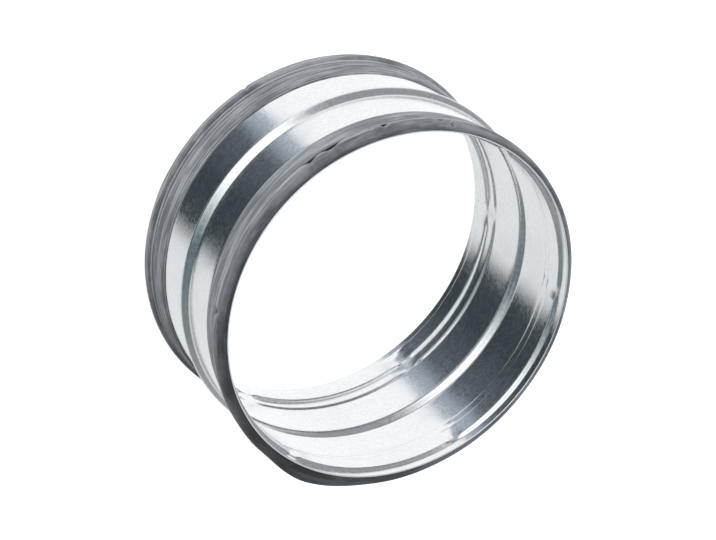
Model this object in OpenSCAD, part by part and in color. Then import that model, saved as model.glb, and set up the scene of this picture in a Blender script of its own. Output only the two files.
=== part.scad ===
// Male coupling for round ventilation duct: a short rolled sheet sleeve with a
// stop bead round its middle and a rubber lip gasket in a pressed seat at each end.
// The sleeve stands on its lower rim, with its axis along +Z.

/* [Duct] */
// Inner diameter of the round duct that slides over each end
duct_d = 160; // [100:5:315]
// Room between the sleeve and the duct, on the radius
duct_play = 0.4; // [0.2:0.1:1]

/* [Sleeve] */
// Thickness of the sheet
sheet_t = 0.6; // [0.4:0.1:0.7]
// Length of the sleeve from rim to rim
sleeve_len = 83; // [70:1:140]
// Height of the stop bead over the sleeve
bead_h = 2.6; // [1:0.1:3]
// Width of the stop bead at its foot
bead_w = 6.4; // [5.6:0.2:10]

/* [Gasket seat] */
// Width of the turned-in rim between the end of the sleeve and the groove's wall
rim_w = 3.6; // [3:0.1:6]
// Depth of the turned-in rim below the sleeve
rim_deep = 0.8; // [0.3:0.1:1.2]
// Depth of the groove below the sleeve
groove_deep = 2.3; // [2:0.1:3.2]
// Width of the groove's floor
groove_w = 8.2; // [6:0.1:10]
// Depth of the shelf below the sleeve
shelf_deep = 0.9; // [0.6:0.1:1.2]
// Width of the shelf beside the groove
shelf_w = 3.8; // [3:0.1:6]
// Length along the sleeve of the slope from the rim down to the groove
rim_run = 1.2; // [1:0.1:1.6]
// Length along the sleeve of the slope from the groove up to the shelf
step_run = 0.7; // [0.7:0.1:1.2]
// Length along the sleeve of the slope from the shelf up to the full radius
ramp_run = 1.6; // [1.2:0.1:2]
// How far each bend of the sheet reaches from its corner
bend_reach = 0.5; // [0.4:0.05:0.5]

/* [Seat gaps] */
// Number of gaps in each seat, where the sheet keeps its full radius
gap_count = 6; // [4:1:8]
// Width of each gap at full radius
gap_w = 4.4; // [2:0.1:6]
// Lean of the ramps at both sides of a gap
gap_lean = 25; // [15:1:50]
// Turn of the first gap at the upper end
upper_turn = 10.5; // [0:0.5:60]
// Turn of the first gap at the lower end
lower_turn = 17.5; // [0:0.5:60]

/* [Gasket] */
// Bare rim beyond the gasket
gasket_inset = 1.2; // [0.5:0.1:2]
// Height of the lip's heel beside the bare rim
heel_h = 0.4; // [0.2:0.1:1]
// Height of the lip's crest over the sleeve
lip_h = 3.2; // [2.5:0.1:4]
// Length of the lip from its crest to its tip
lip_len = 3.1; // [2.5:0.1:4]
// Height of the lip's tip over the sleeve
tip_h = 1.4; // [1.3:0.1:1.8]
// Thickness of the lip at its tip
tip_t = 0.7; // [0.5:0.1:0.8]
// Thickness of the web below the lip
web_t = 0.4; // [0.3:0.1:0.4]
// Height of the pad over the sleeve
pad_h = 1.3; // [1:0.1:1.8]
// Thickness of the flange past the pad
flange_t = 0.35; // [0.25:0.05:0.5]
// How far the flange reaches past the seat
flange_over = 0.3; // [0.3:0.1:2]

/* [Hidden] */
$fn = 96;
// Steps along each bend of the sheet, along the stop bead and along the lip
bend_steps = 3;
bead_steps = 14;
lip_steps = 5;
// What a cutting solid reaches past the face that it cuts
cut_over = 4;
// Distance from the end of the turned-in rim to the lip's crest
crest_lead = 1.6;
// Where the lip's curve is pulled to, as a share of the run before and after its crest
heel_pull = 0.35;
tip_pull = 0.6;
// Depth of the hollow's roof below the crest, and distance from its root to the crest
roof_deep = 0.35;
root_back = 0.4;
// Room between the lip's tip and the pad, and run of the pad's rounded shoulder
tip_room = 0.3;
pad_round = 1.2;
// Height of the pad's low end, and its distance from the end of the seat
pad_low_h = 0.6;
pad_short = 1.2;
// Share of the pad's width over which its crown stays near full height
crown_pull = 0.8;
// Width and remaining height of the notch between the pad and the flange
notch_w = 0.2;
notch_h = 0.15;

outer_r = duct_d / 2 - duct_play;
inner_r = outer_r - sheet_t;
mid_r = (outer_r + inner_r) / 2;
rim_r = mid_r - rim_deep;
gap_step = 360 / gap_count;

// Distances from the rim, along the sleeve
groove_start = rim_w + rim_run;
groove_end = groove_start + groove_w;
shelf_start = groove_end + step_run;
shelf_end = shelf_start + shelf_w;
seat_end = shelf_end + ramp_run;
crest_s = rim_w + crest_lead;
tip_s = crest_s + lip_len;
root_s = crest_s - root_back;
pad_start = tip_s + tip_room;
pad_end = seat_end - pad_short;
flange_end = seat_end + flange_over;

function unit(v) = v / norm(v);

// A curve from a to c, pulled towards b
function curve(a, b, c, steps) = [
    for (i = [0:steps])
        let (u = i / steps)
        pow(1 - u, 2) * a + 2 * u * (1 - u) * b + u * u * c
];

// The bend of the sheet at the corner b of the path a, b, c
function bend(a, b, c) =
    curve(b + bend_reach * unit(a - b), b, b + bend_reach * unit(c - b), bend_steps);

// The bends at all the inner corners of a path
function bends(path) = [
    for (i = [1:len(path) - 2]) each bend(path[i - 1], path[i], path[i + 1])
];

// A path moved sideways, away from the axis for a positive distance
function shifted(path, distance) = [
    for (i = [0:len(path) - 1])
        let (
            before = max(i, 1),
            after = min(i, len(path) - 2),
            into = unit(path[before] - path[before - 1]),
            out = unit(path[after + 1] - path[after]),
            mitre = (into + out) / (1 + into * out)
        )
        path[i] + distance * [mitre.y, -mitre.x]
];

// Middle of the sheet across one seat: radius, and distance from the rim
seat_corners = [
    [rim_r, 0],
    [rim_r, rim_w],
    [mid_r - groove_deep, groove_start],
    [mid_r - groove_deep, groove_end],
    [mid_r - shelf_deep, shelf_start],
    [mid_r - shelf_deep, shelf_end],
    [mid_r, seat_end],
    [mid_r, sleeve_len / 2]
];

// Middle of the sheet where it rises from the turned-in rim straight to the full radius
rim_corners = [
    [rim_r, 0],
    [rim_r, rim_w + bend_reach],
    [mid_r, groove_start + bend_reach],
    [mid_r, sleeve_len / 2]
];

// Middle of the sheet across the stop bead: radius and height
bead_mid = [
    for (i = [0:bead_steps])
        let (turn = 360 * (i / bead_steps - 1 / 2))
        [
            mid_r + bead_h * (1 + cos(turn)) / 2,
            sleeve_len / 2 + bead_w * turn / 360
        ]
];

// Section of the gasket above the sleeve: height, and distance from the rim
lip_face = curve([heel_h, gasket_inset],
    [lip_h, gasket_inset + heel_pull * (crest_s - gasket_inset)],
    [lip_h, crest_s],
    lip_steps);
lip_back = curve([lip_h, crest_s],
    [lip_h, crest_s + tip_pull * lip_len],
    [tip_h, tip_s],
    lip_steps);
lip_inside = curve([tip_h - tip_t, tip_s - tip_t / 2],
    [lip_h - roof_deep, root_s],
    [web_t, root_s],
    lip_steps);
pad_back = curve([pad_h, pad_start + pad_round],
    [pad_h, pad_start + crown_pull * (pad_end - pad_start)],
    [pad_low_h, pad_end],
    lip_steps);
section = [
    each lip_face,
    for (i = [1:lip_steps]) lip_back[i],
    each lip_inside,
    [web_t, pad_start],
    each curve([(web_t + pad_h) / 2, pad_start],
        [pad_h, pad_start],
        [pad_h, pad_start + pad_round],
        bend_steps),
    for (i = [1:lip_steps]) pad_back[i],
    [notch_h, pad_end + notch_w],
    [flange_t, pad_end + 2 * notch_w],
    [flange_t, flange_end]
];

// Half the sheet, out to its outer face for side 1 and in to its inner face for side -1
function half(side) = side * sheet_t / 2;

// The body inside one face of the sheet, without its seats
module core(side) {
    over = side < 0 ? cut_over : 0;
    rise = bends(rim_corners);
    middle = [
        [rim_r, -over],
        each rise,
        each bead_mid,
        for (i = [len(rise) - 1:-1:0]) [rise[i].x, sleeve_len - rise[i].y],
        [rim_r, sleeve_len + over]
    ];
    rotate_extrude()
        polygon([
            [0, -over],
            each shifted(middle, half(side)),
            [0, sleeve_len + over]
        ]);
}

// The gaps, as wedges that run the length of a seat
module gaps(side, turn) {
    wall = side > 0 ? sheet_t / cos(gap_lean) : 0;
    low = inner_r - groove_deep - cut_over;
    high = mid_r + half(side) + sheet_t / 2;
    low_w = gap_w / 2 + wall + (inner_r - low) * tan(gap_lean);
    high_w = gap_w / 2 + wall + (inner_r - high) * tan(gap_lean);
    for (i = [0:gap_count - 1])
        rotate(turn + i * gap_step)
            linear_extrude(seat_end + cut_over)
                polygon([[low, -low_w], [high, -high_w], [high, high_w], [low, low_w]]);
}

// What one seat takes out of the core
module seat(side, turn) {
    middle = [seat_corners[0], each bends(seat_corners), seat_corners[len(seat_corners) - 1]];
    face = shifted(middle, half(side));
    last = len(face) - 2;
    difference() {
        rotate_extrude()
            polygon([
                [mid_r + cut_over, face[1].y],
                for (i = [1:last]) face[i],
                [mid_r + cut_over, face[last].y]
            ]);
        gaps(side, turn);
    }
}

// Puts at the upper end what is measured from the rim
module at_upper() {
    translate([0, 0, sleeve_len])
        mirror([0, 0, 1])
            children();
}

// The whole body inside one face of the sheet
module envelope(side) {
    difference() {
        core(side);
        at_upper()
            seat(side, upper_turn);
        seat(side, lower_turn);
    }
}

// The gasket at one end: its foot fills the seat, and its lip and pad stand over the sleeve
module gasket(turn) {
    foot_r = outer_r - groove_deep - sheet_t;
    difference() {
        rotate_extrude()
            polygon([
                [foot_r, gasket_inset],
                [outer_r, gasket_inset],
                for (p = section) [outer_r + p.x, p.y],
                [outer_r, flange_end],
                [foot_r, flange_end]
            ]);
        difference() {
            core(1);
            seat(1, turn);
        }
    }
}

module sleeve() {
    color("silver")
        difference() {
            envelope(1);
            envelope(-1);
        }
}

module upper_gasket() {
    color("dimgray")
        at_upper()
            gasket(upper_turn);
}

module lower_gasket() {
    color("dimgray")
        gasket(lower_turn);
}

sleeve();
upper_gasket();
lower_gasket();
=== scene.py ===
"""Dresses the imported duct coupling: galvanised sleeve, rubber lip gaskets, studio."""

import logging
import math
from dataclasses import dataclass, field
from enum import Enum

import bpy
from mathutils import Matrix, Vector


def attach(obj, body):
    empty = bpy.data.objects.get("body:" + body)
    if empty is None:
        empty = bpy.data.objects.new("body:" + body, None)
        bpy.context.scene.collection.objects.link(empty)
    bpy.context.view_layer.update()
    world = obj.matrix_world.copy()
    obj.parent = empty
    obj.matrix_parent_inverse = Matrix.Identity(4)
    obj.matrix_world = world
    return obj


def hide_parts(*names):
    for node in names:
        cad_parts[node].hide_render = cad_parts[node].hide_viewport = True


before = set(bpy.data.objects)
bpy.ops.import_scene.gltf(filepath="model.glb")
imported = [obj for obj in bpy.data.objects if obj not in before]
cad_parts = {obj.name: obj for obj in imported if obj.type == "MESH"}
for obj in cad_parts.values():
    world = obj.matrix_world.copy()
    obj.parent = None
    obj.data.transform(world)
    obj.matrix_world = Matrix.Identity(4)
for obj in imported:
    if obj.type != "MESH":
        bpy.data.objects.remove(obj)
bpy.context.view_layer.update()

LOG = logging.getLogger("coupling")
MM = 0.001
Point = tuple[float, float]
Colour = tuple[float, float, float]

# How far the upper lip stands off its plain height: turn in degrees, and millimetres
NEAR_STAND: tuple[Point, ...] = ((0.0, 0.7), (19.0, 3.6), (42.0, 1.9), (70.0, 1.3), (105.0, 0.7),
                                 (140.0, 0.0), (180.0, -1.0), (230.0, -0.6), (300.0, 0.0),
                                 (345.0, 0.0))
# How far the lip's tip is drawn away from the pad: turn in degrees, and millimetres
NEAR_DRAW: tuple[Point, ...] = ((0.0, 0.1), (60.0, 0.3), (150.0, 0.1), (208.0, 0.1), (212.0, 1.7),
                                (217.0, 1.3), (221.0, 0.1), (231.0, 0.1), (233.5, 1.6),
                                (236.0, 0.1), (246.0, 0.1), (250.0, 2.0), (254.0, 0.6),
                                (257.5, 1.8), (261.0, 0.1), (290.0, 0.2), (306.0, 0.1),
                                (309.0, 1.6), (312.0, 0.1))
# Dents in the lip: turn and half width in degrees, and share of the height that is lost
NEAR_DENTS: tuple[tuple[float, float, float], ...] = ((215.5, 2.2, 0.30), (233.3, 1.6, 0.28),
                                                      (237.5, 0.8, 0.12), (251.0, 2.0, 0.26),
                                                      (257.5, 1.2, 0.22), (309.0, 1.3, 0.30),
                                                      (313.0, 0.8, 0.15))
FAR_DRAW: tuple[Point, ...] = ((0.0, 0.1), (210.0, 0.0), (246.0, 0.1), (253.0, 0.5), (259.0, 0.1),
                               (285.0, 0.0), (291.0, 0.6), (299.0, 0.0))


class End(Enum):
    """The end of the sleeve that a gasket sits on."""

    LOWER = "lower"
    UPPER = "upper"


# ---- paths ------------------------------------------------------------------


def curve(a: Point, b: Point, c: Point, steps: int) -> list[Point]:
    """Draws a curve from a to c that is pulled towards b.

    Args:
        a: Start of the curve.
        b: Point that pulls the curve.
        c: End of the curve.
        steps: Number of straight steps along it.

    Returns:
        The points along the curve, both ends included.
    """
    points = []
    for i in range(steps + 1):
        u = i / steps
        near, mid, far = (1 - u) ** 2, 2 * u * (1 - u), u * u
        points.append((near * a[0] + mid * b[0] + far * c[0],
                       near * a[1] + mid * b[1] + far * c[1]))
    return points


def bent(path: list[Point], reach: float, steps: int) -> list[Point]:
    """Rounds the inner corners of a path, as the press does to the sheet.

    Args:
        path: Corners of the path.
        reach: Distance from a corner to where its bend starts.
        steps: Number of straight steps in each bend.

    Returns:
        The path with every inner corner rounded.
    """
    points = [path[0]]
    for before, here, after in zip(path, path[1:], path[2:]):
        into = math.dist(before, here)
        out = math.dist(here, after)
        start = (here[0] + (before[0] - here[0]) * reach / into,
                 here[1] + (before[1] - here[1]) * reach / into)
        end = (here[0] + (after[0] - here[0]) * reach / out,
               here[1] + (after[1] - here[1]) * reach / out)
        points += curve(start, here, end, steps)
    points.append(path[-1])
    return points


def spaced(path: list[Point], longest: float) -> list[Point]:
    """Adds points to the long legs of a path.

    Args:
        path: Points of the path.
        longest: Longest leg that may stay.

    Returns:
        The path with no leg longer than that.
    """
    points = [path[0]]
    for a, b in zip(path, path[1:]):
        parts = max(1, math.ceil(math.dist(a, b) / longest))
        for i in range(1, parts + 1):
            points.append((a[0] + (b[0] - a[0]) * i / parts,
                           a[1] + (b[1] - a[1]) * i / parts))
    return points


# ---- mesh work ---------------------------------------------------------------


def deselect_all() -> None:
    """Leaves nothing selected and no object active."""
    bpy.ops.object.select_all(action="DESELECT")
    bpy.context.view_layer.objects.active = None


def deselect_edit() -> None:
    """Leaves nothing selected in edit mode."""
    bpy.ops.mesh.select_all(action="DESELECT")


def start_point(name: str, place: Point) -> bpy.types.Object:
    """Makes a mesh of one point and leaves it in edit mode.

    Args:
        name: Name of the new object.
        place: Radius and height of the point, in millimetres.

    Returns:
        The new object, with its origin at the world's.
    """
    deselect_all()
    bpy.ops.mesh.primitive_plane_add(size=MM, location=(0, 0, 0))
    piece = bpy.context.object
    piece.name = name
    piece.data.name = name
    bpy.ops.object.mode_set(mode="EDIT")
    bpy.ops.mesh.merge(type="CENTER")
    bpy.ops.transform.translate(value=(place[0] * MM, 0, place[1] * MM))
    return piece


def draw_section(path: list[Point], closed: bool) -> None:
    """Draws a section from the selected point, leg by leg.

    Args:
        path: Points of the section, the first being the selected one.
        closed: Whether the last point joins the first.
    """
    for a, b in zip(path, path[1:]):
        step = ((b[0] - a[0]) * MM, 0, (b[1] - a[1]) * MM)
        bpy.ops.mesh.extrude_region_move(TRANSFORM_OT_translate={"value": step})
    bpy.ops.mesh.select_all(action="SELECT")
    if closed:
        deselect_edit()
        bpy.ops.object.mode_set(mode="OBJECT")
        mesh = bpy.context.object.data
        mesh.vertices[0].select = True
        mesh.vertices[len(path) - 1].select = True
        bpy.ops.object.mode_set(mode="EDIT")
        bpy.ops.mesh.edge_face_add()
        bpy.ops.mesh.select_all(action="SELECT")


def spin_round(stops: list[tuple[float, float]]) -> None:
    """Spins the selected section all the way round the axis.

    Args:
        stops: Angle and number of steps of each stretch, in degrees; they add up to 360.
    """
    for angle, steps in stops:
        bpy.ops.mesh.spin(steps=int(steps), angle=math.radians(angle),
                          center=(0, 0, 0), axis=(0, 0, 1))
    bpy.ops.mesh.select_all(action="SELECT")
    bpy.ops.mesh.remove_doubles(threshold=0.00001)
    bpy.ops.mesh.normals_make_consistent(inside=False)
    bpy.ops.object.mode_set(mode="OBJECT")


def apply_modifier(piece: bpy.types.Object, name: str) -> None:
    """Applies one modifier of a piece."""
    bpy.context.view_layer.objects.active = piece
    bpy.ops.object.modifier_apply(modifier=name)


def smooth(piece: bpy.types.Object, degrees: float) -> None:
    """Shades a piece smooth up to an angle."""
    deselect_all()
    piece.select_set(True)
    bpy.context.view_layer.objects.active = piece
    bpy.ops.object.shade_smooth_by_angle(angle=math.radians(degrees))


def ease(x: float) -> float:
    """Returns a smooth step from 0 to 1 as x goes from 0 to 1."""
    x = min(1.0, max(0.0, x))
    return x * x * (3 - 2 * x)


def slope(x: float, bend: float = 0.2) -> float:
    """Returns a straight slope from 0 to 1 with a small bend at each end.

    Args:
        x: Place along the slope, from 0 to 1.
        bend: Share of the run that each bend takes.

    Returns:
        The height there.
    """
    x = min(1.0, max(0.0, x))
    if x > 0.5:
        return 1 - slope(1 - x, bend)
    if x < bend:
        return x * x / (2 * bend * (1 - bend))
    return (x - bend / 2) / (1 - bend)


def round_ring(anchors: tuple[Point, ...], phi: float) -> float:
    """Reads a value that runs smoothly from anchor to anchor round a ring.

    Args:
        anchors: Turn in degrees and value of each anchor, in order; none means 0.
        phi: Turn to read at, from 0 to 360.

    Returns:
        The value at that turn.
    """
    if not anchors:
        return 0.0
    turns = [(anchors[-1][0] - 360, anchors[-1][1]), *anchors,
             (anchors[0][0] + 360, anchors[0][1])]
    for (a, low), (b, high) in zip(turns, turns[1:]):
        if a <= phi <= b:
            return low + (high - low) * ease((phi - a) / (b - a))
    return anchors[-1][1]


# ---- materials ---------------------------------------------------------------


class Graph:
    """A node tree that is being wired."""

    def __init__(self, tree: bpy.types.NodeTree) -> None:
        """Starts on an empty tree.

        Args:
            tree: The node tree to fill.
        """
        self.tree = tree
        tree.nodes.clear()

    def add(self, kind: str, **settings: object) -> bpy.types.Node:
        """Adds a node.

        Args:
            kind: Blender's name for the node's type.
            **settings: Properties of the node, by name.

        Returns:
            The new node.
        """
        node = self.tree.nodes.new(kind)
        for name, value in settings.items():
            setattr(node, name, value)
        return node

    def join(self, source: bpy.types.NodeSocket, target: bpy.types.NodeSocket) -> None:
        """Links one socket to another."""
        self.tree.links.new(source, target)

    def math(self, operation: str, a: object, b: object = None,
             clamp: bool = False) -> bpy.types.NodeSocket:
        """Adds a Math node.

        Args:
            operation: The sum that it does.
            a: First socket or number.
            b: Second socket or number.
            clamp: Whether the result stays between 0 and 1.

        Returns:
            The socket that holds the result.
        """
        node = self.add("ShaderNodeMath", operation=operation, use_clamp=clamp)
        for i, value in enumerate((a, b)):
            if isinstance(value, bpy.types.NodeSocket):
                self.join(value, node.inputs[i])
            elif value is not None:
                node.inputs[i].default_value = value
        return node.outputs[0]

    def spread(self, value: bpy.types.NodeSocket, low: float, high: float,
               out_low: float = 0.0, out_high: float = 1.0,
               soft: bool = True) -> bpy.types.NodeSocket:
        """Adds a Map Range node.

        Args:
            value: Socket to map.
            low: Value that becomes out_low.
            high: Value that becomes out_high.
            out_low: Result at low.
            out_high: Result at high.
            soft: Whether the change eases in and out.

        Returns:
            The socket that holds the result.
        """
        kind = "SMOOTHSTEP" if soft else "LINEAR"
        node = self.add("ShaderNodeMapRange", interpolation_type=kind)
        self.join(value, node.inputs["Value"])
        node.inputs["From Min"].default_value = low
        node.inputs["From Max"].default_value = high
        node.inputs["To Min"].default_value = out_low
        node.inputs["To Max"].default_value = out_high
        return node.outputs["Result"]

    def blend(self, share: object, a: object, b: object,
              how: str = "MIX") -> bpy.types.NodeSocket:
        """Adds a colour Mix node.

        Args:
            share: Socket or number that says how much of b shows.
            a: First colour, as a socket or three numbers.
            b: Second colour, as a socket or three numbers.
            how: Blend type.

        Returns:
            The socket that holds the mixed colour.
        """
        node = self.add("ShaderNodeMix", data_type="RGBA", blend_type=how)
        for name, value in (("Factor", share), ("A", a), ("B", b)):
            sockets = [s for s in node.inputs if s.name == name and s.enabled]
            if isinstance(value, bpy.types.NodeSocket):
                self.join(value, sockets[0])
            elif name == "Factor":
                sockets[0].default_value = value
            else:
                sockets[0].default_value = (*value, 1.0)
        return next(s for s in node.outputs if s.enabled)

    def ramp(self, value: bpy.types.NodeSocket,
             stops: list[tuple[float, Colour]]) -> bpy.types.NodeSocket:
        """Adds a colour ramp.

        Args:
            value: Socket that runs along the ramp.
            stops: Place and colour of each stop, in order.

        Returns:
            The socket that holds the colour.
        """
        node = self.add("ShaderNodeValToRGB")
        band = node.color_ramp
        while len(band.elements) < len(stops):
            band.elements.new(0.5)
        for element, (place, colour) in zip(band.elements, stops):
            element.position = place
            element.color = (*colour, 1.0)
        self.join(value, node.inputs["Fac"])
        return node.outputs["Color"]

    def noise(self, where: bpy.types.NodeSocket, scale: float, detail: float = 3.0,
              rough: float = 0.5) -> bpy.types.NodeSocket:
        """Adds a noise texture.

        Args:
            where: Socket with the coordinates.
            scale: Number of lumps in a metre.
            detail: Number of finer layers.
            rough: Strength of the finer layers.

        Returns:
            The socket that holds the noise's value.
        """
        node = self.add("ShaderNodeTexNoise")
        self.join(where, node.inputs["Vector"])
        node.inputs["Scale"].default_value = scale
        node.inputs["Detail"].default_value = detail
        node.inputs["Roughness"].default_value = rough
        return node.outputs["Fac"]

    def bump(self, height: bpy.types.NodeSocket, strength: float, distance: float,
             under: bpy.types.NodeSocket | None = None) -> bpy.types.NodeSocket:
        """Adds a Bump node.

        Args:
            height: Socket with the height.
            strength: How much of the bump shows.
            distance: Height of the bump in metres.
            under: Normal of a bump that this one lies on.

        Returns:
            The socket that holds the normal.
        """
        node = self.add("ShaderNodeBump")
        self.join(height, node.inputs["Height"])
        node.inputs["Strength"].default_value = strength
        node.inputs["Distance"].default_value = distance
        if under is not None:
            self.join(under, node.inputs["Normal"])
        return node.outputs["Normal"]


def surface(name: str) -> tuple[bpy.types.Material, Graph, bpy.types.Node,
                                bpy.types.NodeSocket]:
    """Starts a material.

    Args:
        name: Name of the material.

    Returns:
        The material, its graph, its Principled node and its Object coordinates.
    """
    material = bpy.data.materials.new(name)
    material.use_nodes = True
    graph = Graph(material.node_tree)
    out = graph.add("ShaderNodeOutputMaterial")
    shader = graph.add("ShaderNodeBsdfPrincipled")
    graph.join(shader.outputs["BSDF"], out.inputs["Surface"])
    where = graph.add("ShaderNodeTexCoord").outputs["Object"]
    return material, graph, shader, where


def handling_group() -> bpy.types.NodeTree:
    """Builds the group for handling marks, which metal and rubber both use.

    Returns:
        The group, with the coordinates and the size of the marks as inputs and a mask as output.
    """
    group = bpy.data.node_groups.new("handling_marks", "ShaderNodeTree")
    group.interface.new_socket("Where", in_out="INPUT", socket_type="NodeSocketVector")
    group.interface.new_socket("Marks per metre", in_out="INPUT", socket_type="NodeSocketFloat")
    group.interface.new_socket("Mask", in_out="OUTPUT", socket_type="NodeSocketFloat")
    graph = Graph(group)
    start = graph.add("NodeGroupInput")
    end = graph.add("NodeGroupOutput")
    lumps = graph.add("ShaderNodeTexNoise")
    graph.join(start.outputs["Where"], lumps.inputs["Vector"])
    graph.join(start.outputs["Marks per metre"], lumps.inputs["Scale"])
    lumps.inputs["Detail"].default_value = 6.0
    lumps.inputs["Roughness"].default_value = 0.62
    mask = graph.spread(lumps.outputs["Fac"], 0.45, 0.68)
    graph.join(mask, end.inputs["Mask"])
    return group


@dataclass(frozen=True)
class Galvanised:
    """Zinc-coated sheet: bright, with a fine spangle and a slightly uneven face."""

    light: Colour = (0.80, 0.81, 0.82)
    dark: Colour = (0.74, 0.755, 0.775)
    worn: Colour = (0.5, 0.54, 0.58)
    worn_share: float = 0.08
    grain: float = 900.0
    marks_per_m: float = 60.0
    metallic: float = 1.0

    def material(self, marks: bpy.types.NodeTree) -> bpy.types.Material:
        """Wires the finish.

        Args:
            marks: The handling marks group.

        Returns:
            The material.
        """
        material, graph, shader, where = surface("galvanised_sheet")
        shader.inputs["Metallic"].default_value = self.metallic
        cells = graph.add("ShaderNodeTexVoronoi")
        graph.join(where, cells.inputs["Vector"])
        cells.inputs["Scale"].default_value = self.grain
        cells.inputs["Randomness"].default_value = 1.0
        split = graph.add("ShaderNodeSeparateColor")
        graph.join(cells.outputs["Color"], split.inputs["Color"])
        cloud = graph.noise(where, self.grain, 4.0, 0.6)
        grain = graph.math("ADD", graph.math("MULTIPLY", split.outputs["Red"], 0.45),
                           graph.math("MULTIPLY", cloud, 0.55))
        tone = graph.blend(graph.spread(grain, 0.25, 0.72), self.dark, self.light)
        group = graph.add("ShaderNodeGroup", node_tree=marks)
        graph.join(where, group.inputs["Where"])
        group.inputs["Marks per metre"].default_value = self.marks_per_m
        worn = graph.math("MULTIPLY", group.outputs["Mask"], self.worn_share)
        graph.join(graph.blend(worn, tone, self.worn), shader.inputs["Base Color"])
        rough = graph.math("ADD", graph.spread(grain, 0.2, 0.8, 0.11, 0.21),
                           graph.math("MULTIPLY", group.outputs["Mask"], 0.05))
        graph.join(rough, shader.inputs["Roughness"])
        rolling = graph.bump(graph.noise(where, 30.0, 2.0, 0.4), 0.30, 0.0007)
        facets = graph.bump(split.outputs["Green"], 0.05, 0.0002, rolling)
        graph.join(graph.bump(cloud, 0.10, 0.0002, facets), shader.inputs["Normal"])
        return material


@dataclass(frozen=True)
class RingPlace:
    """Where the shaded point of a ring lies, as sockets that hold metres."""

    x: bpy.types.NodeSocket
    y: bpy.types.NodeSocket
    z: bpy.types.NodeSocket
    reach: bpy.types.NodeSocket
    from_middle: bpy.types.NodeSocket

    @classmethod
    def of(cls, graph: Graph, where: bpy.types.NodeSocket, half_length: float) -> "RingPlace":
        """Takes the object's coordinates apart.

        Args:
            graph: The graph of the finish.
            where: Socket with the object's coordinates.
            half_length: Height of the sleeve's middle, in millimetres.

        Returns:
            The coordinates, the distance from the axis and the distance from the middle.
        """
        apart = graph.add("ShaderNodeSeparateXYZ")
        graph.join(where, apart.inputs["Vector"])
        x, y, z = (apart.outputs[axis] for axis in "XYZ")
        reach = graph.math("SQRT", graph.math("ADD", graph.math("MULTIPLY", x, x),
                                              graph.math("MULTIPLY", y, y)))
        from_middle = graph.math("ABSOLUTE", graph.math("SUBTRACT", z, half_length * MM))
        return cls(x, y, z, reach, from_middle)


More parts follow.
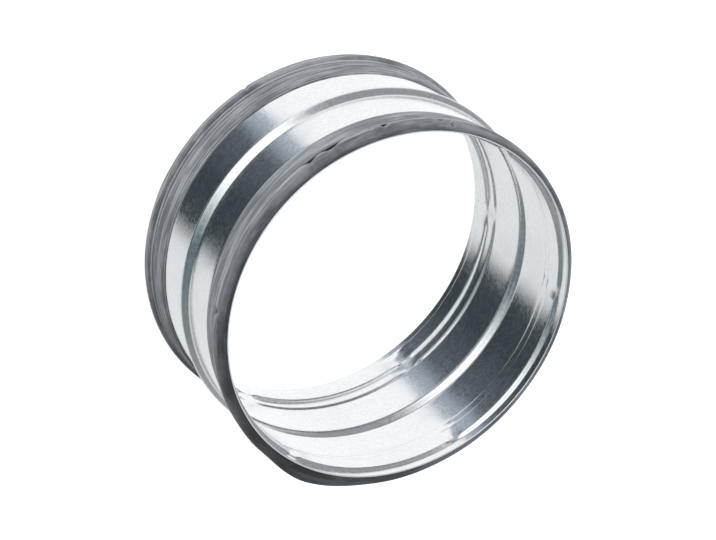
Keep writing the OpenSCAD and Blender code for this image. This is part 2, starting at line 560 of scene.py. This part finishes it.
@dataclass(frozen=True)
class GreyRubber:
    """Extruded rubber: matt grey with a faint bloom and fine die lines round it, a painted
    highlight on the lip's crest and tip, painted shade on its rim-facing face and a painted shadow
    in the hollow under it.
    """

    body: Colour = (0.128, 0.138, 0.152)
    # Dark colour of the painted shade on the rim-facing face and of the painted shadow in the
    # hollow under the lip.
    deep: Colour = (0.020, 0.022, 0.025)
    # Pale colour of the bloom, die lines and handling marks, and also of the painted highlight on
    # the lip's crest and tip.
    bloom_and_highlight: Colour = (0.36, 0.380, 0.405)
    specular: float = 0.25
    marks_per_m: float = 70.0
    marks_share: float = 0.24
    lines_per_m: float = 950.0
    stretch: float = 0.05
    half_length: float = 41.5
    # Painted highlight on the crest and the tip: middle and half width of each band, in mm from
    # the middle.
    painted_lip_highlight: tuple[Point, Point] = ((36.3, 0.5), (33.4, 0.8))
    # Painted shadow in the hollow under the lip: middle and half width, and the radii over which
    # it fades out.
    hollow: Point = (34.8, 2.1)
    hollow_shadow_r: Point = (80.15, 80.4)
    # Painted shade on the rim-facing face: distance from the middle where it starts and where it
    # is full, and its share of the dark colour.
    face: Point = (36.9, 37.9)
    face_shade_share: float = 0.28

    def material(self, marks: bpy.types.NodeTree) -> bpy.types.Material:
        """Wires the finish.

        Args:
            marks: The handling marks group.

        Returns:
            The material.
        """
        material, graph, shader, where = surface("gasket_rubber")
        shader.inputs["Specular IOR Level"].default_value = self.specular
        group = graph.add("ShaderNodeGroup", node_tree=marks)
        graph.join(where, group.inputs["Where"])
        group.inputs["Marks per metre"].default_value = self.marks_per_m
        cloud = graph.noise(where, 700.0, 5.0, 0.65)
        place = RingPlace.of(graph, where, self.half_length)
        lines = graph.noise(self.along_ring(graph, place), self.lines_per_m, 4.0, 0.6)
        share = graph.math("ADD",
                           graph.math("MULTIPLY", group.outputs["Mask"], self.marks_share),
                           graph.spread(lines, 0.37, 0.66, 0.0, 0.84))
        # Painted highlight: the crest and the tip of the lip are made paler, in streaks along the
        # die lines.
        painted_lip_highlight = graph.math("MULTIPLY", self.painted_highlight_mask(graph, place),
                            graph.spread(lines, 0.3, 0.6, 0.35, 0.8))
        tone = graph.blend(graph.math("ADD", share, painted_lip_highlight, clamp=True), self.body, self.bloom_and_highlight)
        # Painted shade: the lip's rim-facing face is darkened part way towards the dark colour.
        start, full = self.face
        face = graph.spread(place.from_middle, start * MM, full * MM, 0.0, self.face_shade_share)
        tone = graph.blend(face, tone, self.deep)
        # Painted shadow: the floor of the hollow under the lip is darkened to the dark colour.
        graph.join(graph.blend(self.hollow_shadow_mask(graph, place), tone, self.deep),
                   shader.inputs["Base Color"])
        graph.join(graph.spread(cloud, 0.3, 0.7, 0.42, 0.58), shader.inputs["Roughness"])
        die = graph.bump(lines, 0.45, 0.0003)
        graph.join(graph.bump(cloud, 0.25, 0.00008, die), shader.inputs["Normal"])
        return material

    def painted_highlight_mask(self, graph: Graph, place: RingPlace) -> bpy.types.NodeSocket:
        """Masks the crest and the tip of the lip, where a painted highlight makes the rubber
        paler.

        Args:
            graph: The graph of the finish.
            place: Where the shaded point lies.

        Returns:
            The socket that holds the mask.
        """
        bands = []
        for middle, half in self.painted_lip_highlight:
            away = graph.math("ABSOLUTE",
                              graph.math("SUBTRACT", place.from_middle, middle * MM))
            bands.append(graph.spread(away, 0.4 * half * MM, half * MM, 1.0, 0.0))
        return graph.math("MAXIMUM", *bands)

    def hollow_shadow_mask(self, graph: Graph, place: RingPlace) -> bpy.types.NodeSocket:
        """Masks the floor of the hollow under the lip, where a painted shadow darkens the rubber.

        Args:
            graph: The graph of the finish.
            place: Where the shaded point lies.

        Returns:
            The socket that holds the mask.
        """
        low = graph.spread(place.reach, self.hollow_shadow_r[0] * MM, self.hollow_shadow_r[1] * MM, 1.0, 0.0)
        middle, half = self.hollow
        away = graph.math("ABSOLUTE", graph.math("SUBTRACT", place.from_middle, middle * MM))
        inside = graph.spread(away, 0.9 * half * MM, half * MM, 1.0, 0.0)
        return graph.math("MULTIPLY", low, inside)

    def along_ring(self, graph: Graph, place: RingPlace) -> bpy.types.NodeSocket:
        """Draws the coordinates out along the ring, so that a noise runs in lines round it.

        Args:
            graph: The graph of the finish.
            place: Where the shaded point lies.

        Returns:
            The socket with the drawn-out coordinates.
        """
        across = graph.math("ADD", place.z, graph.math("MULTIPLY", place.reach, 0.7))
        joined = graph.add("ShaderNodeCombineXYZ")
        graph.join(graph.math("MULTIPLY", place.x, self.stretch), joined.inputs["X"])
        graph.join(graph.math("MULTIPLY", place.y, self.stretch), joined.inputs["Y"])
        graph.join(across, joined.inputs["Z"])
        return joined.outputs["Vector"]


# ---- pieces ------------------------------------------------------------------


@dataclass
class SheetSleeve:
    """The rolled sheet sleeve, with its stop bead and two pressed seats. Sizes in mm."""

    finish: Galvanised = field(default_factory=Galvanised)
    mid_r: float = 79.3
    sheet_t: float = 0.6
    length: float = 83.0
    bead_h: float = 2.6
    bead_w: float = 8.0
    bead_soft: float = 1.5
    bead_up: float = 0.8
    rim_w: float = 3.6
    rim_deep: float = 0.8
    rim_run: float = 1.2
    groove_deep: float = 2.3
    groove_w: float = 8.2
    step_run: float = 0.7
    shelf_deep: float = 0.9
    shelf_w: float = 4.4
    ramp_run: float = 1.0
    bend_reach: float = 0.55
    gap_count: int = 6
    gap_half: float = 2.05
    ramp: float = 0.95
    end_round: float = 0.25
    dip_start: float = 1.6
    dip_low: float = 8.9
    dip_end: float = 20.4
    dip_deep: float = 2.15
    seam_turn: float = 251.0
    seam_half: float = 0.35
    seam_deep: float = 0.12
    upper_turn: float = 10.5
    lower_turn: float = 17.5
    edge_w: float = 0.1
    longest_leg: float = 2.0
    bend_steps: int = 4
    bead_steps: int = 20
    wall_steps: int = 8
    middle_steps: int = 4
    between_steps: int = 3
    rest_steps: int = 24

    def seat_corners(self) -> list[Point]:
        """Returns the corners of one seat: radius, and distance from the rim."""
        groove = self.mid_r - self.groove_deep
        shelf = self.mid_r - self.shelf_deep
        rim = self.mid_r - self.rim_deep
        start = self.rim_w + self.rim_run
        end = start + self.groove_w
        shelf_start = end + self.step_run
        shelf_end = shelf_start + self.shelf_w
        return [(rim, 0.0), (rim, self.rim_w), (groove, start), (groove, end),
                (shelf, shelf_start), (shelf, shelf_end), (self.mid_r, shelf_end + self.ramp_run),
                (self.mid_r, self.length / 2 - self.bead_w / 2 - self.bead_up)]

    def seat_reach(self) -> float:
        """Returns the distance from the rim at which the seat has ended."""
        slopes = self.rim_run + self.step_run + self.ramp_run
        return self.rim_w + slopes + self.groove_w + self.shelf_w + self.bend_reach

    def section(self) -> list[Point]:
        """Returns the middle of the sheet from the lower rim to the upper one."""
        bends = bent(self.seat_corners(), self.bend_reach, self.bend_steps)
        half = spaced(bends, self.longest_leg)
        bead = []
        for i in range(1, self.bead_steps):
            turn = 2 * math.pi * (i / self.bead_steps - 0.5)
            height = self.bead_h * ((1 + math.cos(turn)) / 2) ** self.bead_soft
            bead.append((self.mid_r + height,
                         self.length / 2 + self.bead_up + self.bead_w * turn / (2 * math.pi)))
        upper = [(r, self.length - z) for r, z in reversed(half)]
        return half + bead + upper

    def stretches(self) -> list[tuple[float, float]]:
        """Returns the stretches of the spin: fine on the gaps' walls, coarser between."""
        wall = self.ramp + self.end_round + 0.2
        middle = 2 * (self.gap_half - self.end_round - 0.1)
        gap = [(wall, self.wall_steps), (middle, self.middle_steps), (wall, self.wall_steps)]
        between = abs(self.lower_turn - self.upper_turn) - 2 * wall - middle
        rest = 360 / self.gap_count - 4 * wall - 2 * middle - between
        share = [*gap, (between, self.between_steps), *gap, (rest, self.rest_steps)]
        return share * self.gap_count

    def first_angle(self) -> float:
        """Returns the angle at which the first wall starts, in degrees."""
        return min(self.upper_turn, self.lower_turn) - self.gap_half - self.ramp - 0.1

    def build(self) -> bpy.types.Object:
        """Builds the sleeve's mesh.

        Returns:
            The sleeve as one closed sheet.
        """
        path = self.section()
        piece = start_point("sheet_sleeve", path[0])
        draw_section(path, closed=False)
        spin_round(self.stretches())
        piece.data.transform(Matrix.Rotation(math.radians(self.first_angle()), 4, "Z"))
        self.open_gaps(piece)
        solid = piece.modifiers.new("sheet", "SOLIDIFY")
        solid.thickness = self.sheet_t * MM
        solid.offset = 0.0
        solid.use_even_offset = True
        apply_modifier(piece, "sheet")
        edge = piece.modifiers.new("edge", "BEVEL")
        edge.width = self.edge_w * MM
        edge.segments = 1
        edge.limit_method = "ANGLE"
        edge.angle_limit = math.radians(60)
        apply_modifier(piece, "edge")
        smooth(piece, 32)
        return piece

    def gap_share(self, phi: float, turn: float, rim: float) -> float:
        """Returns how far the bends of a seat have faded out, from 0 to 1.

        Args:
            phi: Turn of the point, in degrees.
            turn: Turn of the first gap, in degrees.
            rim: Distance of the point from the nearer rim, in millimetres.

        Returns:
            The share, 1 in the middle of a gap and 0 outside it.
        """
        step = 360 / self.gap_count
        away = abs((phi - turn + step / 2) % step - step / 2)
        start, end = self.rim_w, self.seat_reach() - self.bend_reach
        across = abs((rim - (start + end) / 2) / ((end - start) / 2))
        narrow = self.end_round * min(1.0, across) ** 4
        return 1 - slope((away - self.gap_half + narrow) / self.ramp)

    def open_radius(self, away: float) -> float:
        """Returns the sheet's radius in a gap, at a distance from the nearer rim."""
        sink = ease((away - self.dip_start) / (self.dip_low - self.dip_start))
        rise = ease((away - self.dip_low) / (self.dip_end - self.dip_low))
        deep = self.rim_deep + (self.dip_deep - self.rim_deep) * sink
        return self.mid_r - deep * (1 - rise)

    def open_gaps(self, piece: bpy.types.Object) -> None:
        """Fades the bends of both seats out in their gaps, and presses the seam in.

        Args:
            piece: The spun sleeve.
        """
        reach = max(self.seat_reach(), self.dip_end)
        for vertex in piece.data.vertices:
            x, y, z = (c / MM for c in vertex.co)
            phi = math.degrees(math.atan2(y, x))
            share = 0.0
            if z < reach:
                share = self.gap_share(phi, self.lower_turn, z)
            elif z > self.length - reach:
                share = self.gap_share(phi, self.upper_turn, self.length - z)
            radius = math.hypot(x, y)
            open_r = self.open_radius(min(z, self.length - z))
            seam = 1 - ease(abs(phi % 360 - self.seam_turn) / self.seam_half)
            grown = 1 + (share * (open_r - radius) - seam * self.seam_deep) / radius
            vertex.co.x *= grown
            vertex.co.y *= grown

    def dress(self, piece: bpy.types.Object, marks: bpy.types.NodeTree) -> None:
        """Gives the sleeve its finish and body.

        Args:
            piece: The sleeve.
            marks: The handling marks group.
        """
        piece.data.materials.append(self.finish.material(marks))
        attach(piece, "root")
        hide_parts("sleeve")


@dataclass
class LipGasket:
    """One rubber gasket: heel, lip, hollow, pad and flange. Sizes in mm."""

    end: End
    finish: GreyRubber = field(default_factory=GreyRubber)
    outer_r: float = 79.6
    length: float = 83.0
    under: float = 0.12
    inset: float = 1.2
    rim_end: float = 3.6
    rim_deep: float = 0.8
    heel_h: float = 0.4
    lip_h: float = 3.2
    crest_s: float = 5.2
    lip_len: float = 3.1
    tip_h: float = 1.4
    tip_t: float = 0.7
    tip_room: float = 0.3
    bulb_h: float = 0.35
    bulb_w: float = 0.9
    web_t: float = 0.4
    pad_h: float = 1.3
    pad_foot: float = 0.85
    pad_end: float = 17.9
    pad_low_h: float = 0.6
    flange_t: float = 0.35
    flange_end: float = 19.4
    heel_run: float = 4.0
    heel_pull: float = 0.35
    tip_pull: float = 0.6
    root_back: float = 0.4
    roof_deep: float = 0.35
    pad_round: float = 1.2
    crown_pull: float = 0.8
    notch_w: float = 0.2
    notch_h: float = 0.15
    land_run: float = 1.9
    stand: tuple[Point, ...] = ()
    draw: tuple[Point, ...] = ()
    dents: tuple[tuple[float, float, float], ...] = ()
    joint_turn: float = 207.5
    joint_lean: float = 5.0
    joint_half: float = 0.3
    joint_open: float = 0.75

    def section(self) -> list[Point]:
        """Returns the closed section: radius, and distance from the rim."""
        tip_s = self.crest_s + self.lip_len
        root_s = self.crest_s - self.root_back
        pad_start = tip_s + self.tip_room
        crest = (self.lip_h, self.crest_s)
        face = curve((self.heel_h, self.inset),
                     (self.lip_h, self.inset + self.heel_pull * (self.crest_s - self.inset)),
                     crest, 9)
        back = curve(crest, (self.lip_h, self.crest_s + self.tip_pull * self.lip_len),
                     (self.tip_h + self.bulb_h, tip_s - self.bulb_w), 7)
        bulb = curve(back[-1], (self.tip_h + self.bulb_h, tip_s - 0.1 * self.bulb_w),
                     (self.tip_h - 0.1, tip_s + 0.05), 5)
        tip = curve(bulb[-1], (self.tip_h - 0.35, tip_s + 0.1),
                    (self.tip_h - self.tip_t, tip_s - self.tip_t / 2), 3)
        hollow = curve(tip[-1], (self.lip_h - self.roof_deep, root_s), (self.web_t, root_s), 7)
        shoulder = curve((self.pad_foot, pad_start), (self.pad_h, pad_start),
                         (self.pad_h, pad_start + self.pad_round), 5)
        heights = face + back[1:] + bulb[1:] + tip[1:] + hollow[1:]
        heights += [(self.web_t, (root_s + pad_start) / 2), (self.web_t, pad_start)] + shoulder
        crown = curve(shoulder[-1],
                      (self.pad_h, pad_start + self.crown_pull * (self.pad_end - pad_start)),
                      (self.pad_low_h, self.pad_end), 9)
        heights += crown[1:] + [(self.notch_h, self.pad_end + self.notch_w),
                                (self.flange_t, self.pad_end + 2 * self.notch_w),
                                (self.flange_t, self.flange_end - self.notch_h),
                                (self.notch_h, self.flange_end),
                                (-self.under, self.flange_end)]
        land = -self.rim_deep - self.under
        heights += [(-self.under, self.rim_end + self.land_run), (land, self.rim_end),
                    (land, self.inset)]
        return [(self.outer_r + h, s) for h, s in heights]

    def build(self) -> bpy.types.Object:
        """Builds the gasket's mesh.

        Returns:
            The gasket as one closed ring.
        """
        path = self.section()
        if self.end is End.UPPER:
            path = [(r, self.length - s) for r, s in path]
        piece = start_point(self.end.value + "_lip_gasket", path[0])
        draw_section(path, closed=True)
        fine = abs(self.joint_lean) + 4
        spin_round([(fine, round(fine * 4)), (360.0 - fine, round(360.0 - fine))])
        first = self.joint_turn - 2 + min(0.0, self.joint_lean)
        piece.data.transform(Matrix.Rotation(math.radians(first), 4, "Z"))
        self.unsettle(piece)
        self.cut_joint(piece)
        smooth(piece, 40)
        return piece

    def unsettle(self, piece: bpy.types.Object) -> None:
        """Stands the lip higher or lower round the ring, as soft rubber sits.

        Args:
            piece: The spun gasket.
        """
        outwards = 1 if self.end is End.UPPER else -1
        for vertex in piece.data.vertices:
            x, y, z = (c / MM for c in vertex.co)
            away = self.length - z if self.end is End.UPPER else z
            radius = math.hypot(x, y)
            if away > self.crest_s + self.lip_len + self.tip_room / 2:
                continue
            height = radius - self.outer_r
            phi = math.degrees(math.atan2(y, x)) % 360
            share = max(0.0, height - self.heel_h) / (self.lip_h - self.heel_h)
            lost = sum(part * ease(1 - abs(phi - turn) / half) for turn, half, part in self.dents)
            shift = round_ring(self.stand, phi) * share - lost * max(0.0, height)
            vertex.co.x *= 1 + shift / radius
            vertex.co.y *= 1 + shift / radius
            free = ease((height - self.web_t) / (self.tip_h - self.web_t))
            drawn = round_ring(self.draw, phi) * free * ease((away - self.inset) / self.heel_run)
            vertex.co.z += outwards * drawn * MM

    def cut_joint(self, piece: bpy.types.Object) -> None:
        """Cuts the narrow slanting joint where the two ends of the extruded rubber meet.

        Args:
            piece: The spun gasket.
        """
        for vertex in piece.data.vertices:
            x, y, z = (c / MM for c in vertex.co)
            away = self.length - z if self.end is End.UPPER else z
            radius = math.hypot(x, y)
            height = radius - self.outer_r
            along = min(1.0, max(0.0, (self.flange_end - away) / (self.flange_end - self.crest_s)))
            centre = self.joint_turn + self.joint_lean * along
            away_turn = abs(math.degrees(math.atan2(y, x)) % 360 - centre)
            if height <= 0 or away_turn >= self.joint_half:
                continue
            shift = -height * self.joint_open * (1 - away_turn / self.joint_half)
            vertex.co.x *= 1 + shift / radius
            vertex.co.y *= 1 + shift / radius

    def dress(self, piece: bpy.types.Object, material: bpy.types.Material) -> None:
        """Gives the gasket its finish and body.

        Args:
            piece: The gasket.
            material: The rubber, which both gaskets share.
        """
        piece.data.materials.append(material)
        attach(piece, "root")
        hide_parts(self.end.value + "_gasket")


# ---- studio ------------------------------------------------------------------


@dataclass
class Studio:
    """The floor, the lamps, the surroundings and the camera."""

    bead_z: float = 0.0411
    eye: tuple[float, float, float] = (0.00091, -0.68927, 0.92688)
    right: tuple[float, float, float] = (-0.680592, 0.587606, 0.437623)
    up: tuple[float, float, float] = (-0.732662, -0.545845, -0.406521)
    lens: float = 136.48
    floor_size: float = 9.0
    floor_glow: float = 0.90
    white: Colour = (1.17, 1.18, 1.19)
    grey: Colour = (0.90, 0.925, 0.93)
    blue: Colour = (0.40, 0.46, 0.53)
    card: Colour = (0.115, 0.138, 0.155)
    edge: Colour = (0.088, 0.106, 0.120)
    dark: Colour = (0.050, 0.064, 0.074)
    soft: Colour = (1.50, 1.52, 1.53)
    fading: Colour = (0.62, 0.68, 0.70)
    gloom: Colour = (0.13, 0.18, 0.20)
    dusk: Colour = (0.15, 0.20, 0.22)
    dim: Colour = (0.36, 0.37, 0.39)
    shade: Colour = (0.24, 0.27, 0.28)
    overhead: Colour = (0.92, 0.93, 0.95)
    fill_low: Colour = (0.50, 0.52, 0.54)
    fill_high: Colour = (0.08, 0.083, 0.09)

    def lay_floor(self) -> bpy.types.Object:
        """Lays a plain pale floor that keeps the object's shadow.

        Returns:
            The floor.
        """
        deselect_all()
        bpy.ops.mesh.primitive_plane_add(size=self.floor_size, location=(0, 0, 0))
        floor = bpy.context.object
        floor.name = "studio_floor"
        floor.visible_glossy = False
        material = bpy.data.materials.new("studio_floor")
        material.use_nodes = True
        graph = Graph(material.node_tree)
        out = graph.add("ShaderNodeOutputMaterial")
        matt = graph.add("ShaderNodeBsdfDiffuse")
        matt.inputs["Color"].default_value = (0.8, 0.8, 0.8, 1.0)
        glow = graph.add("ShaderNodeEmission")
        path = graph.add("ShaderNodeLightPath")
        seen = graph.math("MAXIMUM", path.outputs["Is Camera Ray"],
                          graph.math("MAXIMUM", path.outputs["Is Glossy Ray"],
                                     path.outputs["Is Transmission Ray"]))
        graph.join(graph.math("MULTIPLY", seen, self.floor_glow), glow.inputs["Strength"])
        both = graph.add("ShaderNodeAddShader")
        graph.join(matt.outputs["BSDF"], both.inputs[0])
        graph.join(glow.outputs["Emission"], both.inputs[1])
        graph.join(both.outputs["Shader"], out.inputs["Surface"])
        floor.data.materials.append(material)
        return floor

    def surround(self) -> None:
        """Sets the surroundings: white to the camera, soft boxes and a dark gap to the metal."""
        world = bpy.data.worlds.new("studio_surroundings")
        bpy.context.scene.world = world
        world.use_nodes = True
        world.cycles.sampling_method = "NONE"
        graph = Graph(world.node_tree)
        out = graph.add("ShaderNodeOutputWorld")
        path = graph.add("ShaderNodeLightPath")
        way = graph.add("ShaderNodeTexCoord").outputs["Generated"]
        apart = graph.add("ShaderNodeSeparateXYZ")
        graph.join(way, apart.inputs["Vector"])
        bearing = graph.math("ARCTAN2", apart.outputs["Y"], apart.outputs["X"])
        turn = graph.math("FRACT", graph.math("ADD",
                                              graph.math("DIVIDE", bearing, 2 * math.pi), 1.0))
        low = self.round_horizon(graph, turn, [
            (0, self.grey), (70, self.grey), (92, self.white), (237, self.white),
            (238.5, self.blue), (248, self.blue), (256, self.card), (273, self.edge),
            (292, self.dark), (323, self.dark), (338, self.grey)])
        high = self.round_horizon(graph, turn, [
            (0, self.shade), (20, self.dim), (225, self.dim), (246, self.soft),
            (280, self.soft), (299, self.fading), (315, self.gloom), (330, self.dusk),
            (348, self.shade)])
        rise = graph.spread(apart.outputs["Z"], -0.66, 0.15)
        sides = graph.blend(rise, low, high)
        top = graph.spread(apart.outputs["Z"], 0.62, 0.85)
        around = graph.blend(top, sides, self.overhead)
        soft_fill = graph.blend(graph.spread(apart.outputs["Z"], -0.02, 0.45),
                                self.fill_low, self.fill_high)
        shaded = graph.blend(path.outputs["Is Diffuse Ray"], around, soft_fill)
        seen = graph.blend(path.outputs["Is Camera Ray"], shaded, (1.0, 1.0, 1.0))
        shine = graph.add("ShaderNodeBackground")
        graph.join(seen, shine.inputs["Color"])
        graph.join(shine.outputs["Background"], out.inputs["Surface"])

    @staticmethod
    def round_horizon(graph: Graph, turn: bpy.types.NodeSocket,
                      stops: list[tuple[float, Colour]]) -> bpy.types.NodeSocket:
        """Colours the surroundings by bearing.

        Args:
            graph: The graph of the surroundings.
            turn: Socket with the bearing, from 0 to 1.
            stops: Bearing in degrees and colour of each stop, in order.

        Returns:
            The socket that holds the colour.
        """
        return graph.ramp(turn, [(bearing / 360, colour) for bearing, colour in stops])

    def hang_lamp(self, name: str, place: tuple[float, float, float], size: Point,
                  watts: float) -> None:
        """Hangs one soft box that faces the coupling.

        Args:
            name: Name of the lamp.
            place: Where it hangs, in metres.
            size: Width and height of the soft box, in metres.
            watts: Its power.
        """
        light = bpy.data.lights.new(name, "AREA")
        light.shape = "RECTANGLE"
        light.size, light.size_y = size
        light.energy = watts
        lamp = bpy.data.objects.new(name, light)
        bpy.context.scene.collection.objects.link(lamp)
        facing = Vector(place)
        facing.z -= self.bead_z
        lamp.rotation_euler = facing.to_track_quat("Z", "Y").to_euler()
        lamp.location = place
        lamp.visible_glossy = False
        lamp.visible_camera = False

    def set_camera(self) -> None:
        """Sets the camera at the photograph's viewing angle."""
        camera = bpy.data.cameras.new("camera")
        camera.sensor_fit = "HORIZONTAL"
        camera.sensor_width = 36.0
        camera.lens = self.lens
        camera.clip_start = 0.05
        camera.clip_end = 50.0
        eye = bpy.data.objects.new("camera", camera)
        bpy.context.scene.collection.objects.link(eye)
        r, u = self.right, self.up
        back = (r[1] * u[2] - r[2] * u[1], r[2] * u[0] - r[0] * u[2], r[0] * u[1] - r[1] * u[0])
        x, y, z = self.eye
        eye.matrix_world = Matrix(((r[0], u[0], back[0], x),
                                   (r[1], u[1], back[1], y),
                                   (r[2], u[2], back[2], z + self.bead_z),
                                   (0, 0, 0, 1)))
        bpy.context.scene.camera = eye

    def build(self) -> None:
        """Builds the whole studio."""
        self.lay_floor()
        self.surround()
        self.hang_lamp("key_box", (-0.07, -2.1, 0.19), (1.0, 0.3), 38.0)
        self.hang_lamp("back_box", (-1.75, 1.05, 1.05), (1.0, 1.0), 46.0)
        self.set_camera()
        bpy.context.scene.view_settings.view_transform = "Standard"


def main() -> None:
    """Builds the coupling's pieces and the studio."""
    logging.basicConfig(level=logging.INFO, format="%(message)s")
    Studio().build()
    marks = handling_group()
    sleeve = SheetSleeve()
    piece = sleeve.build()
    sleeve.dress(piece, marks)
    LOG.info("%s: %d faces", piece.name, len(piece.data.polygons))
    rubber = GreyRubber().material(marks)
    gaskets = (LipGasket(End.LOWER, draw=FAR_DRAW, tip_room=0.12, pad_foot=1.1,
                         joint_turn=252.0, joint_lean=2.0, joint_open=0.25),
               LipGasket(End.UPPER, stand=NEAR_STAND, draw=NEAR_DRAW, dents=NEAR_DENTS,
                         pad_end=17.0, flange_end=18.4))
    for gasket in gaskets:
        piece = gasket.build()
        gasket.dress(piece, rubber)
        LOG.info("%s: %d faces", piece.name, len(piece.data.polygons))


if __name__ == "__main__":
    main()
